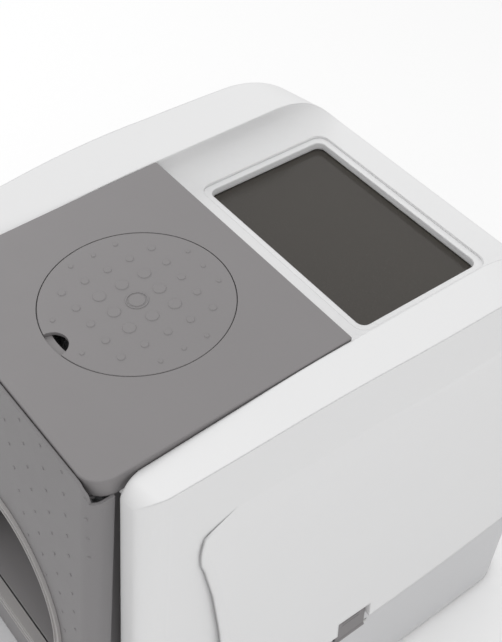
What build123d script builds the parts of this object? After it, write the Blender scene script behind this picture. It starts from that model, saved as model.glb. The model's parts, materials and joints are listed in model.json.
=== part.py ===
from build123d import *
import os
from math import cos, sin, sqrt, exp, radians, hypot

# Self-cleaning litter box: a hood on a base, a hand-turned pan, a sieve and a waste drawer.
# Millimetres. +Z is up, -Y is the front, X runs left to right.
# The origin is on the floor, under the middle of the box.

os.makedirs("parts", exist_ok=True)


def save(shape, name):
    export_step(shape, f"parts/{name}.step")


# Driving sizes of the whole box
base_half_width = 232.0
base_half_length = 330.0
base_foot_inset = 7.0
base_corner = 46.0
seam_height = 182.0
lid_height = 608.0
hood_half_width = base_half_width - 0.5
hood_side_lean = 2.5 / 440
hood_front_foot = -base_half_length + 65.0
hood_front_lean = 0.0907
hood_back_lean = 0.022
hood_bulge_y = 108.0
hood_side_radius = 5000.0
hood_front_corner = 25.0
hood_back_corner = 40.0
wall = 3.0

# Clearances
seat_gap = 0.2
side_gap = 0.3
running_gap = 0.06
tight_gap = 0.02

# Top of the hood
crest_mid_y = -10.0
crest_front_drop = 8.0
crest_mid_drop = 0.4
crest_back_drop = 10.0
crest_front_round = 20.0
crest_mid_round = 1400.0
crest_back_round = 110.0
crest_half_width = base_half_width - 62.5
rail_reach = 100.5
rail_front_rise = 27.0
rail_mid_rise = 30.0
rail_back_rise = 4.0
rail_back_round = 180.0
trough_drop = 41.0
trough_slope = 0.035
trough_round = 30.0

# Flared side pads
flare_half_width = base_half_width + 8.0
flare_top = 547.0
flare_fall = 0.07
flare_front = -150.0
flare_corner = 74.0
flare_soft = 30.0
flare_reach = 65.0
flare_sections = (60.0, 30.0, 0.0, -30.0, -70.0, -120.0, -190.0, -280.0, -410.0)

# Lid
lid_half_width = base_half_width - 64.0
lid_front = -base_half_length + 79.0
lid_back = 45.5
lid_depth = 22.0
lid_plate = 3.0
lid_front_corner = 25.0
lid_back_corner = 2.0
lid_side_gap = 1.5
lid_back_gap = 3.8
lid_edge_round = 1.2
lid_pin_radius = 2.0
lid_pin_y = lid_back - 6.0
lid_pin_drop = 7.0
ledge_width = 14.0

# Filter in the lid
cover_y = -92.0
cover_radius = 99.2
cover_groove = 0.9
cover_thickness = 4.0
cover_step = 9.0
notch_radius = 16.5
bump_pitch = 27.0
bump_height = 0.8
bump_radii = {0: 9.0, 1: 7.2, 2: 4.5, 3: 2.9}
bump_ring_outer = 11.8
bump_ring_width = 1.4
filter_depth = 28.0
filter_wall = 2.5
filter_flange = 8.0
pad_thickness = 18.0
housing_ledge = 8.0
grille_thickness = 2.5
grille_pitch = 13.0
grille_slot = 6.0
grille_rows = 5
grille_margin = 9.0
grille_bar = 2.0

# Window behind the lid
window_half_width = lid_half_width - 26.0
window_front = 84.0
window_back = base_half_length - 64.0
window_corner = 14.0
window_ledge = 8.0
window_depth = 12.0
pane_thickness = 3.5
pane_lap = 4.0
gasket_thickness = 1.0
frame_lap = 6.0

# Front panel and entrance
panel_half_width = lid_half_width + 2.0
panel_front = lid_front - 3.4
panel_lean = 0.12
panel_corner = 15.0
panel_return = 27.0
panel_flange = 10.0
panel_top_drop = 4.3
cheek_inner = panel_half_width + 5.0
cheek_depth = 20.0
crossbar_front = lid_front + 27.0
tray_flare_length = 20.0
crossbar_depth = 20.0
entrance_radius = 110.0
entrance_top = 418.0
entrance_sill = 240.0
entrance_corner = 30.0
rim_width = 9.0
rim_height = 4.0
rim_lap = 6.0
rim_rib = 1.6

# Turning pan
axle_y = 10.0
axle_z = 348.0
pan_radius = 200.0
pan_half_width = base_half_width - 52.0
pan_lip_angle = 205.0
pan_end_angle = 380.0
pan_hub_radius = 48.0
pan_turn = 110.0
riser_y = -100.0
riser_slot = 8.0
riser_pitch = 14.0
riser_thickness = 3.0
riser_margin = 7.0
riser_side_margin = 24.0
step_rib_count = 5
step_rib_rise = 1.2
step_thickness = 4.0
axle_radius = 12.0
axle_flange_radius = 38.0
axle_flange = 4.0
bush_wall = 4.0
bush_flange = 3.3
bush_flange_radius = 24.0

# Side frames that carry the pan
frame_inner = pan_half_width + 12.0
frame_thickness = 4.0
frame_boss_radius = 30.0
frame_boss_outer = pan_half_width + 18.5
frame_front = -base_half_length + 170.0
frame_back = base_half_length - 30.0
frame_back_height = 232.0
frame_front_drop = 30.0
frame_shoulder_rise = 20.0
frame_head_half = 40.0
frame_head_rise = 34.0
frame_foot = 20.0
frame_window_margin = 34.0
frame_window_low = 60.0
frame_window_back_height = 190.0
frame_window_front_height = 170.0
frame_window_top = axle_z - 116.0
frame_window_half = 60.0
frame_window_corner = 14.0
frame_screw_margin = 50.0
frame_screw_count = 4

# Lever on the left side
pocket_floor = pan_half_width + 23.0
lever_start_angle = 75.0
lever_length = 168.0
lever_width = 22.0
lever_thickness = 10.0
lever_root_gap = 2.0
hub_radius = 34.0
hub_length = 19.0
grip_length = 46.0
grip_width = 30.0
grip_reach = 28.0
screw_radius = 3.0
screw_head_radius = 6.5
screw_head_height = 4.0
sunk_head_radius = 5.2
sunk_head_depth = 2.4
axle_screw_angles = (45, 135, 225, 315)
axle_screw_inset = 11.0
axle_flat_share = 0.75
hub_cap_radius = 15.0
hub_cap_depth = 7.0
pocket_margin = 9.0
pocket_spread = 18.0

# Waste drawer
drawer_half_width = base_half_width - 82.0
drawer_front_y = -base_half_length + 11.5
drawer_back_y = 150.0
drawer_floor = 14.0
drawer_top = 130.0
drawer_wall = 2.5
drawer_corner = 12.0
drawer_face = 8.0
drawer_face_rise = 4.0
drawer_face_lap = 2.5
cup_half_width = 60.0
cup_low = 86.0
cup_high = 116.0
cup_depth = 27.0
liner_rim = 2.3
liner_width = 7.0
liner_skirt = 12.0
runner_height = 21.0
runner_width = 3.5

# Guides that lead the waste down
deflector_top = (frame_back, 230.0)
deflector_foot = (155.0, 142.0)
guide_thickness = 4.0
entry_ledge_half_width = drawer_half_width
entry_ledge_front = -base_half_length + 42.0
entry_ledge_back_gap = 7.0
entry_ledge_height = 246.0
entry_ledge_rise = 12.0
deck_back = -base_half_length + 84.0
deck_screw_inset = 12.0
deck_screw_back = 20.0
deck_leg = 34.0

# Latches at the seam
latch_y = 20.0
latch_width = 44.0
latch_thickness = 4.0
latch_high = 206.0
latch_face = base_half_width + 1.6
latch_hook = 4.5
latch_hook_reach = 2.2
latch_pin_radius = 1.6
latch_pin_z = 158.0
latch_barrel = 3.6
latch_gap = 2.0
latch_wall = 6.0

# Feet
foot_radius = 14.0
foot_height = 8.0
floor_gap = 6.0
foot_inset_x = 46.0
foot_inset_y = 54.0


# Helpers

def block(x0, x1, y0, y1, z0, z1):
    middle = Pos((x0 + x1) / 2, (y0 + y1) / 2, (z0 + z1) / 2)
    return middle * Box(x1 - x0, y1 - y0, z1 - z0)


def rounded_block(half_x, y0, y1, z0, z1, corner):
    shape = RectangleRounded(2 * half_x, y1 - y0, corner)
    return Pos(0, (y0 + y1) / 2, z0) * extrude(shape, z1 - z0)


def disc(radius, x, y, z0, z1):
    return Pos(x, y, (z0 + z1) / 2) * Cylinder(radius, z1 - z0)


def rod_x(radius, x0, x1, y, z):
    return Pos((x0 + x1) / 2, y, z) * Rot(0, 90, 0) * Cylinder(radius, abs(x1 - x0))


def rod_y(radius, x, y0, y1, z):
    return Pos(x, (y0 + y1) / 2, z) * Rot(90, 0, 0) * Cylinder(radius, abs(y1 - y0))


def outline(points, radii=None):
    """Flat closed outline, with a radius at each corner that has one."""
    face = make_face(Polyline(*points, close=True))
    for point, radius in zip(points, radii or []):
        if radius > 0:
            corner = face.vertices().sort_by_distance(Vector(*point, 0))[0]
            face = fillet(corner, radius)
    return face


def side_plate(face, x0, x1):
    """Extrude an outline drawn in Y and Z from x0 to x1."""
    return extrude(Plane.YZ.offset(min(x0, x1)) * face, abs(x1 - x0))


def both_sides(shape):
    return shape + mirror(shape, about=Plane.YZ)


def left_of(shape):
    return mirror(shape, about=Plane.YZ)


# Hood: its plan outline, its roof line, and the hollow inside

def hood_front_y(z):
    return hood_front_foot + hood_front_lean * (z - seam_height)


def hood_back_y(z):
    return base_half_length - hood_back_lean * (z - seam_height)


def bulged_outline(half_width, y_front, y_back, inset):
    """Plan outline whose long sides bulge gently outwards."""
    def half(y):
        return half_width - hood_side_radius + sqrt(hood_side_radius ** 2 - (y - hood_bulge_y) ** 2)
    corners = [(-half(y_front), y_front), (half(y_front), y_front),
               (half(y_back), y_back), (-half(y_back), y_back)]
    edges = [
        Line(corners[0], corners[1]),
        ThreePointArc(corners[1], (half_width, hood_bulge_y), corners[2]),
        Line(corners[2], corners[3]),
        ThreePointArc(corners[3], (-half_width, hood_bulge_y), corners[0]),
    ]
    face = make_face(edges)
    rounds = [hood_front_corner, hood_front_corner, hood_back_corner, hood_back_corner]
    for point, radius in zip(corners, rounds):
        corner = face.vertices().sort_by_distance(Vector(*point, 0))[0]
        face = fillet(corner, radius - inset)
    return face


hood_low = seam_height - 30
hood_high = lid_height + 40
sheet_offset = 0.05


def hood_body(foot_half_width, side_lean, inset):
    """Drafted body that follows the hood's outer sides."""
    sections = []
    for z in (hood_low, hood_high):
        half = foot_half_width - side_lean * (z - seam_height) - inset
        face = bulged_outline(half, hood_front_y(z) + inset, hood_back_y(z) - inset, inset)
        sections.append(Pos(0, 0, z) * face)
    return loft(sections, ruled=True)


def roof_profile(inset, front_high, mid_high, back_high, back_round):
    """Side view of the space under the roof line, from the heights of its three corners."""
    proud = sheet_offset - inset
    points = [
        (hood_front_y(hood_low) - proud, hood_low),
        (hood_front_y(front_high) - proud, front_high - inset),
        (crest_mid_y, mid_high - inset),
        (hood_back_y(back_high) + proud, back_high - inset),
        (hood_back_y(hood_low) + proud, hood_low),
    ]
    radii = [0, crest_front_round - inset, crest_mid_round, back_round - inset, 0]
    return outline(points, radii)


def roof_body(inset):
    """Space under the roof line: level between the crests, rising outwards over the rails."""
    crest = [lid_height - crest_front_drop, lid_height - crest_mid_drop, lid_height - crest_back_drop]
    rises = [rail_front_rise, rail_mid_rise, rail_back_rise]
    edge = [high + rise for high, rise in zip(crest, rises)]
    inner = roof_profile(inset, crest[0], crest[1], crest[2], crest_back_round)
    outer = roof_profile(inset, edge[0], edge[1], edge[2], rail_back_round)
    middle = side_plate(inner, -crest_half_width, crest_half_width)
    rail_end = Plane.YZ.offset(crest_half_width + rail_reach)
    rail = loft([Plane.YZ.offset(crest_half_width) * inner, rail_end * outer], ruled=True)
    return middle + rail + left_of(rail)


trough_start = lid_back + lid_back_gap


def trough_z(y):
    return lid_height - trough_drop - trough_slope * (y - trough_start)


def trough_cut(margin):
    """Concave valley from the lid to the back, with the window in its floor."""
    half = crest_half_width + margin
    bend = trough_round + margin
    low = trough_z(trough_start) - margin
    top = hood_high + 60
    edges = [
        Line((-half + bend, low), (half - bend, low)),
        RadiusArc((half - bend, low), (half, low + bend), -bend),
        Line((half, low + bend), (half, top)),
        Line((half, top), (-half, top)),
        Line((-half, top), (-half, low + bend)),
        RadiusArc((-half, low + bend), (-half + bend, low), -bend),
    ]
    start = trough_start - margin
    section = Plane.XZ.offset(-start) * make_face(edges)
    length = base_half_length + 40 - start
    return extrude(section, length * hypot(1, trough_slope), dir=(0, 1, -trough_slope))


ledge_top = lid_height - lid_depth - side_gap
tray_half = lid_half_width + lid_side_gap


def lid_tray_cut(margin):
    """Space over the ledge that the lid lies on, a little wider at its front end."""
    far = -base_half_length
    half = tray_half + margin
    tray = block(-half, half, far, trough_start, ledge_top - margin, hood_high + 60)
    wide = cheek_inner + margin
    flare_back = crossbar_front + tray_flare_length
    wedge_points = [(half - 1, flare_back), (half, flare_back), (wide, crossbar_front),
                    (wide, far), (half - 1, far)]
    wedge = Pos(0, 0, ledge_top - margin) * extrude(outline(wedge_points), hood_high + 60 - ledge_top)
    return tray + both_sides(wedge)


def pocket_outline(margin):
    """Fan-shaped side pocket in which the lever swings, drawn in Y and Z."""
    reach = lever_length + pocket_margin + margin
    start = lever_start_angle - pocket_spread
    end = lever_start_angle + pan_turn + pocket_spread
    hub = Pos(axle_y, axle_z) * Circle(hub_radius + pocket_margin + margin)
    count = 12
    points = [(axle_y, axle_z)]
    for step in range(count + 1):
        angle = radians(start + (end - start) * step / count)
        points.append((axle_y + 2 * reach * cos(angle), axle_z + 2 * reach * sin(angle)))
    fan = make_face(Polyline(*points, close=True)) & (Pos(axle_y, axle_z) * Circle(reach))
    if margin > 0:
        fan = offset(fan, margin, kind=Kind.ARC)
    return fan + hub


def lever_pocket(margin):
    face = pocket_outline(margin)
    return side_plate(face, -flare_half_width - 40, -pocket_floor + margin)


latch_back = latch_face - latch_thickness
latch_pin_x = latch_back + latch_thickness / 2


def latch_recess(margin):
    """Shallow recess over the seam on the right side, in which a latch lies."""
    half = latch_width / 2 + latch_gap + (wall if margin else 0)
    low = latch_pin_z - latch_barrel - 2 * latch_gap - margin
    high = latch_high + 2 * latch_gap + margin
    floor_x = latch_back - side_gap - margin
    return block(floor_x, flare_half_width + 30, latch_y - half, latch_y + half, low, high)


def latch_groove():
    """Groove above the seam that the latch hooks into."""
    half = latch_width / 2 + latch_gap
    low = latch_high - latch_hook - 2 * side_gap
    high = latch_high + 2 * side_gap
    floor_x = latch_back - latch_hook_reach - 2 * side_gap
    return block(floor_x, latch_back, latch_y - half, latch_y + half, low, high)


def flare_region():
    """Block with soft edges that bounds the flared pad on the right side."""
    faces = []
    for x, shrink in ((hood_half_width - 8, -flare_soft), (flare_half_width + 3, flare_soft)):
        front = flare_front + shrink
        top = flare_top - shrink
        far = base_half_length + 60
        far_top = top - flare_fall * (far - front)
        points = [(front, hood_low - 10), (front, top), (far, far_top), (far, hood_low - 10)]
        faces.append(Plane.YZ.offset(x) * outline(points, [0, flare_corner, 0, 0]))
    return loft(faces, ruled=True)


def flare_proud(drop):
    """How far the pad stands out from the hood's side, at a drop below the pad's top."""
    full = (flare_half_width - hood_half_width) / (1 - exp(-(flare_top - seam_height) / flare_reach))
    return full * (1 - exp(-drop / flare_reach))


def flare_pad(inset):
    """Pad whose side swells out quickly under its top edge and then runs nearly straight down."""
    sections = []
    for height in flare_sections:
        z = flare_top + height
        half = hood_half_width - hood_side_lean * (z - seam_height) + flare_proud(-height) - inset
        face = bulged_outline(half, hood_front_y(z) + inset, hood_back_y(z) - inset, inset)
        sections.append(Pos(0, 0, z) * face)
    body = loft(sections, ruled=True)
    return both_sides(flare_region()) & body


window_plane = Plane(
    origin=(0, trough_start, trough_z(trough_start)),
    x_dir=(1, 0, 0),
    z_dir=(0, trough_slope, 1),
)


def window_block(half_x, y0, y1, depth0, depth1, corner):
    """Rounded block under the trough floor, by its depth below that floor."""
    shape = RectangleRounded(2 * half_x, y1 - y0, corner)
    middle = (y0 + y1) / 2 - trough_start
    return window_plane * (Pos(0, middle, -depth1) * extrude(shape, depth1 - depth0))


def make_hood():
    roof = roof_body(0)
    outer = (hood_body(hood_half_width, hood_side_lean, 0) & roof) + (flare_pad(0) & roof)
    under_roof = roof_body(wall)
    hollow = hood_body(hood_half_width, hood_side_lean, wall) & under_roof
    corner_start = base_half_length - 2.5 * hood_back_corner
    pad_room = block(-400, 400, -500, corner_start, 0, hood_high)
    hollow = hollow + (flare_pad(wall) & pad_room & under_roof)
    recesses = both_sides(latch_recess(0)) + both_sides(latch_groove())
    outer = outer - lid_tray_cut(0) - trough_cut(0) - recesses
    hollow = hollow - lid_tray_cut(wall) - trough_cut(wall)
    hollow = hollow - both_sides(latch_recess(latch_wall))
    cheek_end = crossbar_front + cheek_depth
    cheek_wall = block(cheek_inner, cheek_inner + wall, -base_half_length, cheek_end, hood_low, hood_high)
    hollow = hollow - both_sides(cheek_wall)
    hood = outer - hollow
    mouth = block(-cheek_inner, cheek_inner, -base_half_length, crossbar_front, hood_low, hood_high)
    under_bar = block(-cheek_inner, cheek_inner, -base_half_length, cheek_end, hood_low, ledge_top - wall)
    hood = hood - mouth - under_bar
    opening_front = crossbar_front + crossbar_depth
    opening_half = tray_half - ledge_width
    opening_back = trough_start - ledge_width
    lid_opening = rounded_block(opening_half, opening_front, opening_back, ledge_top - 9, hood_high, 12)
    hood = hood - lid_opening - lever_pocket(wall + seat_gap)
    window_hole = window_block(window_half_width, window_front, window_back, -20, wall + 2, window_corner)
    hood = hood - window_hole
    pin_hole = rod_x(lid_pin_radius + running_gap, tray_half - 2, tray_half + 3 * wall,
                     lid_pin_y, lid_height - lid_pin_drop)
    hood = hood - both_sides(pin_hole)
    below = block(-400, 400, -500, 500, hood_low - 60, seam_height + seat_gap)
    return hood - below


hood_shell = make_hood()
save(hood_shell, "hood_shell")


def make_lever_dish():
    """Dished plate round the lever, set flush into the hood's left side."""
    dish = lever_pocket(wall) - lever_pocket(0)
    dish = dish & (hood_body(hood_half_width, hood_side_lean, 0) + flare_pad(0))
    return dish - rod_x(axle_radius + 4, -flare_half_width, -pocket_floor + 3 * wall, axle_y, axle_z)


lever_dish = make_lever_dish()
save(lever_dish, "lever_dish")


# Window: stepped frame, soft seal and smoked pane

frame_top = wall + seat_gap
sight_half = window_half_width - window_ledge
sight_front = window_front + window_ledge
sight_back = window_back - window_ledge
pane_depth = window_depth + gasket_thickness
frame_bottom = pane_depth + pane_thickness + seat_gap
sight_corner = window_corner - window_ledge / 2


def make_window():
    lap = frame_lap
    body = window_block(window_half_width + lap, window_front - lap, window_back + lap,
                        frame_top, frame_bottom, window_corner + lap)
    sight = window_block(sight_half, sight_front, sight_back, 0, frame_bottom + 5, sight_corner)
    rabbet = window_block(sight_half + pane_lap, sight_front - pane_lap, sight_back + pane_lap,
                          window_depth, frame_bottom + 5, sight_corner + pane_lap)
    frame = body - sight - rabbet
    lap = pane_lap - side_gap
    pane = window_block(sight_half + lap, sight_front - lap, sight_back + lap,
                        pane_depth, pane_depth + pane_thickness, sight_corner + lap)
    ring = window_block(sight_half + lap, sight_front - lap, sight_back + lap,
                        window_depth + seat_gap / 2, pane_depth - seat_gap / 2, sight_corner + lap)
    gasket = ring - window_block(sight_half + side_gap, sight_front - side_gap, sight_back + side_gap,
                                 0, frame_bottom, sight_corner)
    return frame, gasket, pane


window_frame, window_gasket, window_pane = make_window()
save(window_frame, "window_frame")
save(window_gasket, "window_gasket")
save(window_pane, "window_pane")


# Lid: plate, skirt, filter well and hinge pins

lid_pin_z = lid_height - lid_pin_drop
well_radius = cover_radius + cover_groove
well_floor = lid_height - cover_thickness - side_gap
well_hole = well_radius - cover_step
well_bottom = well_floor - lid_plate


def lid_outline(inset):
    points = [
        (-lid_half_width + inset, lid_front + inset),
        (lid_half_width - inset, lid_front + inset),
        (lid_half_width - inset, lid_back - inset),
        (-lid_half_width + inset, lid_back - inset),
    ]
    radii = [lid_front_corner - inset] * 2 + [lid_back_corner - inset] * 2
    return outline(points, radii)


def make_lid():
    lid = Pos(0, 0, lid_height - lid_depth) * extrude(lid_outline(0), lid_depth)
    top_edges = lid.faces().sort_by(Axis.Z)[-1].edges()
    lid = fillet(top_edges, lid_edge_round)
    cavity = Pos(0, 0, lid_height - lid_depth - 1) * extrude(lid_outline(wall), lid_depth + 1 - lid_plate)
    lid = lid - cavity
    lid = lid + disc(well_radius + wall, 0, cover_y, well_bottom, lid_height - lid_plate)
    lid = lid - disc(well_radius, 0, cover_y, well_floor, lid_height + 5)
    lid = lid - disc(well_hole, 0, cover_y, well_bottom - 5, lid_height)
    boss = rod_x(2.6 * lid_pin_radius, lid_half_width - 4 * wall, lid_half_width - wall / 2,
                 lid_pin_y - wall, lid_pin_z - wall / 2)
    lid = lid + both_sides(boss & block(0, lid_half_width, 0, lid_back, 0, lid_height - 1))
    bore = rod_x(lid_pin_radius + tight_gap, lid_half_width - 3 * wall, lid_half_width + 5,
                 lid_pin_y, lid_pin_z)
    heel_reach = lid_pin_z - ledge_top - side_gap
    heel_low = lid_pin_z - sqrt(heel_reach ** 2 - (lid_back - lid_pin_y) ** 2)
    heel_cut = block(-tray_half, tray_half, lid_pin_y, lid_back + 1, ledge_top, heel_low)
    return lid - both_sides(bore) - heel_cut


top_lid = make_lid()
save(top_lid, "top_lid")

pin = rod_x(lid_pin_radius, lid_half_width - 3 * wall + side_gap, tray_half + wall, lid_pin_y, lid_pin_z)
lid_hinge_pins = both_sides(pin)
save(lid_hinge_pins, "lid_hinge_pins")


# Filter: round cover with bumps, housing, grille and pad

def make_cover():
    low = lid_height - cover_thickness
    cover = disc(cover_radius, 0, cover_y, low, lid_height)
    rim = cover.faces().sort_by(Axis.Z)[-1].edges()
    cover = fillet(rim, 0.6)
    cover = cover - disc(notch_radius, 0, cover_y - cover_radius + 1, low - 1, lid_height + 1)
    bumps = []
    for i in range(-3, 4):
        for j in range(-3, 4):
            size = max(abs(i), abs(j))
            if hypot(i, j) * bump_pitch > 0.9 * cover_radius or (i, j) == (0, -3):
                continue
            place = Pos(i * bump_pitch, cover_y + j * bump_pitch, lid_height + bump_height / 2 - 0.1)
            radius = bump_radii[size]
            bumps.append(place * Cone(radius, radius - bump_height, bump_height + 0.2))
    height = lid_height + bump_height - 0.2
    ring = disc(bump_ring_outer, 0, cover_y, lid_height - 0.1, height)
    ring = ring - disc(bump_ring_outer - bump_ring_width, 0, cover_y, lid_height - 1, height + 1)
    return cover + bumps + ring


filter_cover = make_cover()
save(filter_cover, "filter_cover")

housing_top = well_bottom - seat_gap
housing_bottom = housing_top - filter_depth
housing_inner = well_hole - side_gap


def make_housing():
    outer_radius = housing_inner + filter_wall
    cup = disc(outer_radius, 0, cover_y, housing_bottom, housing_top)
    cup = cup + disc(outer_radius + filter_flange, 0, cover_y, housing_top - filter_wall, housing_top)
    cup = cup - disc(housing_inner, 0, cover_y, housing_bottom + filter_wall, housing_top + 1)
    return cup - disc(housing_inner - housing_ledge, 0, cover_y, housing_bottom - 1, housing_top)


filter_housing = make_housing()
save(filter_housing, "filter_housing")

grille_low = housing_bottom + filter_wall + seat_gap
grille_radius = housing_inner - side_gap


def make_grille():
    plate = disc(grille_radius, 0, cover_y, grille_low, grille_low + grille_thickness)
    slots = []
    for row in range(-grille_rows, grille_rows + 1):
        x = row * grille_pitch
        half = sqrt((grille_radius - grille_margin) ** 2 - x ** 2) - grille_bar
        for sign in (-1, 1):
            middle = sign * (half / 2 + grille_bar)
            slot = extrude(SlotOverall(half - grille_bar, grille_slot, rotation=90), grille_thickness + 2)
            slots.append(Pos(x, cover_y + middle, grille_low - 1) * slot)
    return plate - slots


filter_grille = make_grille()
save(filter_grille, "filter_grille")

pad_low = grille_low + grille_thickness + side_gap
filter_pad = disc(grille_radius - 1, 0, cover_y, pad_low, pad_low + pad_thickness)
save(filter_pad, "filter_pad")


# Base tub: hollow body with a front deck, a drawer mouth and sockets for the feet

def base_body(inset, z0, z1):
    sections = []
    for z in (z0, z1):
        share = (seam_height - z) / (seam_height - floor_gap)
        shrink = base_foot_inset * share + inset
        shape = RectangleRounded(2 * (base_half_width - shrink), 2 * (base_half_length - shrink),
                                 base_corner - inset)
        sections.append(Pos(0, 0, z) * shape)
    return loft(sections, ruled=True)


mouth_half = drawer_half_width + drawer_face_lap + 1.5
mouth_top = drawer_top + drawer_face_rise + 2
floor_top = floor_gap + wall
foot_x = base_half_width - foot_inset_x
foot_y = base_half_length - foot_inset_y


def each_foot(make):
    return [make(sx * foot_x, sy * foot_y) for sx in (-1, 1) for sy in (-1, 1)]


def make_base():
    base = base_body(0, floor_gap, seam_height)
    hollow = base_body(wall, floor_top, seam_height - wall)
    base = base - both_sides(latch_recess(0))
    hollow = hollow - both_sides(latch_recess(latch_wall))
    base = base - hollow
    rim = 14.0
    opening = rounded_block(base_half_width - rim, deck_back, base_half_length - rim,
                            seam_height - 2 * wall, seam_height + 1, base_corner - rim)
    base = base - opening
    mouth = block(-mouth_half, mouth_half, -base_half_length - 5, drawer_front_y + 12, floor_top, mouth_top)
    base = base - mouth
    sockets = each_foot(lambda x, y: disc(foot_radius + seat_gap, x, y, floor_gap - 1, floor_gap + 2))
    base = base - sockets
    half = latch_width / 2 + latch_gap
    hole = rod_y(latch_pin_radius + tight_gap, latch_pin_x, latch_y - half - latch_wall,
                 latch_y + half + latch_wall, latch_pin_z)
    barrel_room = rod_y(latch_barrel + side_gap, latch_pin_x, latch_y - half, latch_y + half, latch_pin_z)
    base = base - both_sides(hole) - both_sides(barrel_room)
    for x, y in frame_screw_places:
        base = base - disc(screw_radius + seat_gap, x, y, floor_gap - 1, floor_top + 1)
    for x, y in deck_screw_places:
        base = base - disc(screw_radius + seat_gap, x, y, seam_height - 2 * wall, seam_height + 1)
    return base


frame_outer = frame_inner + frame_thickness
frame_screw_x = frame_outer + frame_foot / 2
frame_screw_start = frame_front + frame_screw_margin
frame_screw_step = (frame_back - 20 - frame_screw_margin - frame_screw_start) / (frame_screw_count - 1)
frame_screw_ys = [frame_screw_start + place * frame_screw_step for place in range(frame_screw_count)]
frame_screw_places = [(side * frame_screw_x, y) for side in (-1, 1) for y in frame_screw_ys]
deck_screw_x = entry_ledge_half_width - deck_screw_inset
deck_screw_y = deck_back - deck_screw_back
deck_screw_places = [(-deck_screw_x, deck_screw_y), (deck_screw_x, deck_screw_y)]

base_tub = make_base()
save(base_tub, "base_tub")

rubber_feet = Compound(each_foot(lambda x, y: disc(foot_radius, x, y, 0, foot_height - seat_gap)))
save(rubber_feet, "rubber_feet")


# Front panel with its entrance

def panel_y(z):
    return panel_front - panel_lean * (lid_height - z)


panel_low = seam_height + seat_gap
panel_high = lid_height - panel_top_drop


def panel_body(inset, back_offset):
    """Leaning block with rounded front corners, as deep as the side returns."""
    sections = []
    for z in (panel_low, panel_high):
        front = panel_y(z) + inset
        back = panel_y(z) + panel_return + back_offset
        half = panel_half_width - inset
        points = [(-half, front), (half, front), (half, back), (-half, back)]
        corner = panel_corner - inset
        sections.append(Pos(0, 0, z) * outline(points, [corner, corner, 0, 0]))
    return loft(sections, ruled=True)


def entrance_outline(grow):
    """Arched outline drawn in X and Z."""
    radius = entrance_radius + grow
    centre = entrance_top - entrance_radius
    low = entrance_sill - grow
    arch = Circle(radius) & (Pos(0, radius / 2) * Rectangle(2 * radius, radius))
    arch = Pos(0, centre) * arch
    lower = outline([(-radius, low), (radius, low), (radius, centre), (-radius, centre)],
                    [entrance_corner, entrance_corner, 0, 0])
    return arch + lower


def entrance_block(grow, y0, y1):
    return extrude(Plane.XZ.offset(-y1) * entrance_outline(grow), y1 - y0)


def leaning_sheet(depth0, depth1):
    """Slab parallel to the panel's face, between two depths behind it."""
    points = [
        (panel_y(panel_low) + depth0, panel_low),
        (panel_y(panel_high) + depth0, panel_high),
        (panel_y(panel_high) + depth1, panel_high),
        (panel_y(panel_low) + depth1, panel_low),
    ]
    return side_plate(outline(points), -panel_half_width, panel_half_width)


def make_panel():
    panel = panel_body(0, 0) - panel_body(wall, 10)
    flange_depth = wall
    flange_inner = panel_return - flange_depth
    flange = leaning_sheet(flange_inner, panel_return)
    flange_half = panel_half_width - panel_flange
    panel = panel + (flange - block(-flange_half, flange_half, -400, 0, panel_low - 1, panel_high + 5))
    top_y = crossbar_front + crossbar_depth
    shelf_high = ledge_top - wall - seat_gap
    inner_wall = block(flange_half - wall, flange_half, -400, top_y, panel_low, shelf_high)
    inner_wall = inner_wall & leaning_sheet(flange_inner, 3 * panel_return)
    panel = panel + both_sides(inner_wall)
    shelf = block(-crest_half_width + 12, crest_half_width - 12, panel_y(shelf_high) + 1, top_y,
                  shelf_high - wall, shelf_high)
    panel = panel + shelf
    foot = block(-panel_half_width + 12, panel_half_width - 12, panel_y(panel_low) + 1,
                 deck_back - 2, panel_low, panel_low + wall)
    panel = panel + foot
    for x, y in deck_screw_places:
        panel = panel - disc(screw_radius + seat_gap, x, y, panel_low - 1, panel_low + wall + 1)
    corner_round = panel_high - ledge_top
    corner_x = panel_half_width - panel_corner - 9
    corner_cut = block(corner_x, panel_half_width + 5, -400, 0, ledge_top, panel_high + 5)
    lid_room = block(corner_x, panel_half_width + 5, lid_front - side_gap, 0, ledge_top, panel_high + 5)
    corner_cut = corner_cut - rod_y(corner_round, corner_x, -400, 0, ledge_top) + lid_room
    panel = panel - both_sides(corner_cut)
    return panel - entrance_block(0, -400, panel_y(entrance_top) + panel_return)


front_panel = make_panel()
save(front_panel, "front_panel")


def make_rim():
    """Ring round the entrance: a flange in front of the panel with two fine ribs, and a lip inside."""
    far_back = panel_y(entrance_top) + panel_return
    ring = entrance_block(rim_width, -400, far_back) - entrance_block(-rim_rib, -400, far_back)
    flange = ring & leaning_sheet(-rim_height + rim_rib, -seat_gap)
    lip_ring = entrance_block(-side_gap, -400, far_back) - entrance_block(-rim_rib - 1, -400, far_back)
    lip = lip_ring & leaning_sheet(-rim_height + rim_rib, wall + rim_lap)
    flange = flange - entrance_block(-rim_rib - 1, -400, far_back)
    ribs = []
    for start in (-rim_rib, rim_width - rim_rib):
        band = entrance_block(start + rim_rib, -400, far_back) - entrance_block(start, -400, far_back)
        ribs.append(band & leaning_sheet(-rim_height, -rim_height + rim_rib + 0.2))
    return flange + lip + ribs


entrance_rim = make_rim()
save(entrance_rim, "entrance_rim")


# Pan: curved wall, end walls and rim, drawn in Y and Z

def pan_point(radius, angle):
    turn = radians(angle)
    return (axle_y + radius * cos(turn), axle_z + radius * sin(turn))


pan_inner = pan_radius - wall


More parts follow.
